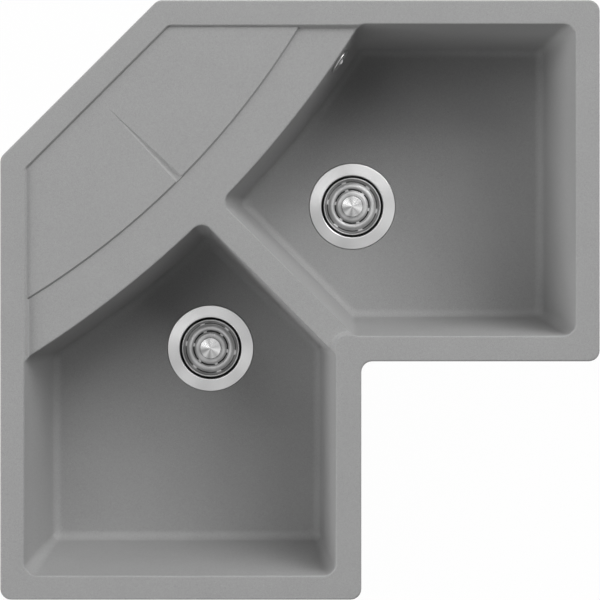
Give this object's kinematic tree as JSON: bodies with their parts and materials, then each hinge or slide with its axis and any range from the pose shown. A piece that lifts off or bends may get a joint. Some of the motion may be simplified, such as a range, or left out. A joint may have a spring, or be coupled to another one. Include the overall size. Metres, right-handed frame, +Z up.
{
  "type": "kitchen sink",
  "caption": "Inset corner kitchen sink: speckled composite moulding with a bowl in each leg, a drainer across the cut back corner, lift-out basket strainers and a bottle trap.",
  "frame": {"origin": "on the worktop plane under the rim, at the inner corner of the notch between the legs' front edges", "axes": "+X along the right leg's front edge, to the picture's right; +Y towards the picture's upper edge; +Z up out of the worktop"},
  "size_m": [0.83, 0.83, 0.4963],
  "materials": {
    "granite": "fine grey speckle, matt",
    "steel": "turned and polished stainless steel",
    "plastic_white": "moulded, smooth",
    "plastic_grey": "moulded, smooth",
    "rubber": "matt black",
    "zinc": "zinc plated",
    "brass": "plain"
  },
  "bodies": {
    "sink": {"sink_moulding": "granite", "right_strainer_cup": "steel", "right_cup_seal": "rubber", "right_clamp_screw": "steel", "right_waste_seal": "rubber", "right_waste_body": "plastic_white", "right_outlet_nut": "plastic_grey", "right_outlet_washer": "rubber", "right_link_pipe": "plastic_white", "left_strainer_cup": "steel", "left_cup_seal": "rubber", "left_clamp_screw": "steel", "left_waste_seal": "rubber", "left_waste_body": "plastic_white", "left_outlet_nut": "plastic_grey", "left_outlet_washer": "rubber", "left_link_pipe": "plastic_white", "overflow_cover": "steel", "overflow_screw": "steel", "overflow_seal": "rubber", "overflow_elbow": "plastic_white", "overflow_pipe": "plastic_white", "overflow_port_nut": "plastic_grey", "overflow_port_washer": "rubber", "tee_piece": "plastic_white", "right_tee_nut": "plastic_grey", "left_tee_nut": "plastic_grey", "tee_washers": "rubber", "appliance_cap": "plastic_grey", "trap_nut": "plastic_grey", "trap_washer": "rubber", "trap_body": "plastic_white", "dip_tube": "plastic_white", "trap_seal": "rubber", "trap_cup": "plastic_grey", "drain_nut": "plastic_grey", "drain_washer": "rubber", "drain_pipe": "plastic_white", "clip_brackets": "zinc", "clip_screws": "zinc", "clip_inserts": "brass"},
    "right_strainer": {"right_basket": "steel", "right_knob": "steel", "right_post": "plastic_white", "right_stopper": "rubber"},
    "left_strainer": {"left_basket": "steel", "left_knob": "steel", "left_post": "plastic_white", "left_stopper": "rubber"}
  },
  "joints": [
    {"name": "right_strainer_lift", "type": "slide", "parent": "sink", "child": "right_strainer", "axis": [0, 0, 1], "range_m": [0, 0.1]},
    {"name": "left_strainer_lift", "type": "slide", "parent": "sink", "child": "left_strainer", "axis": [0, 0, 1], "range_m": [0, 0.1]}
  ]
}
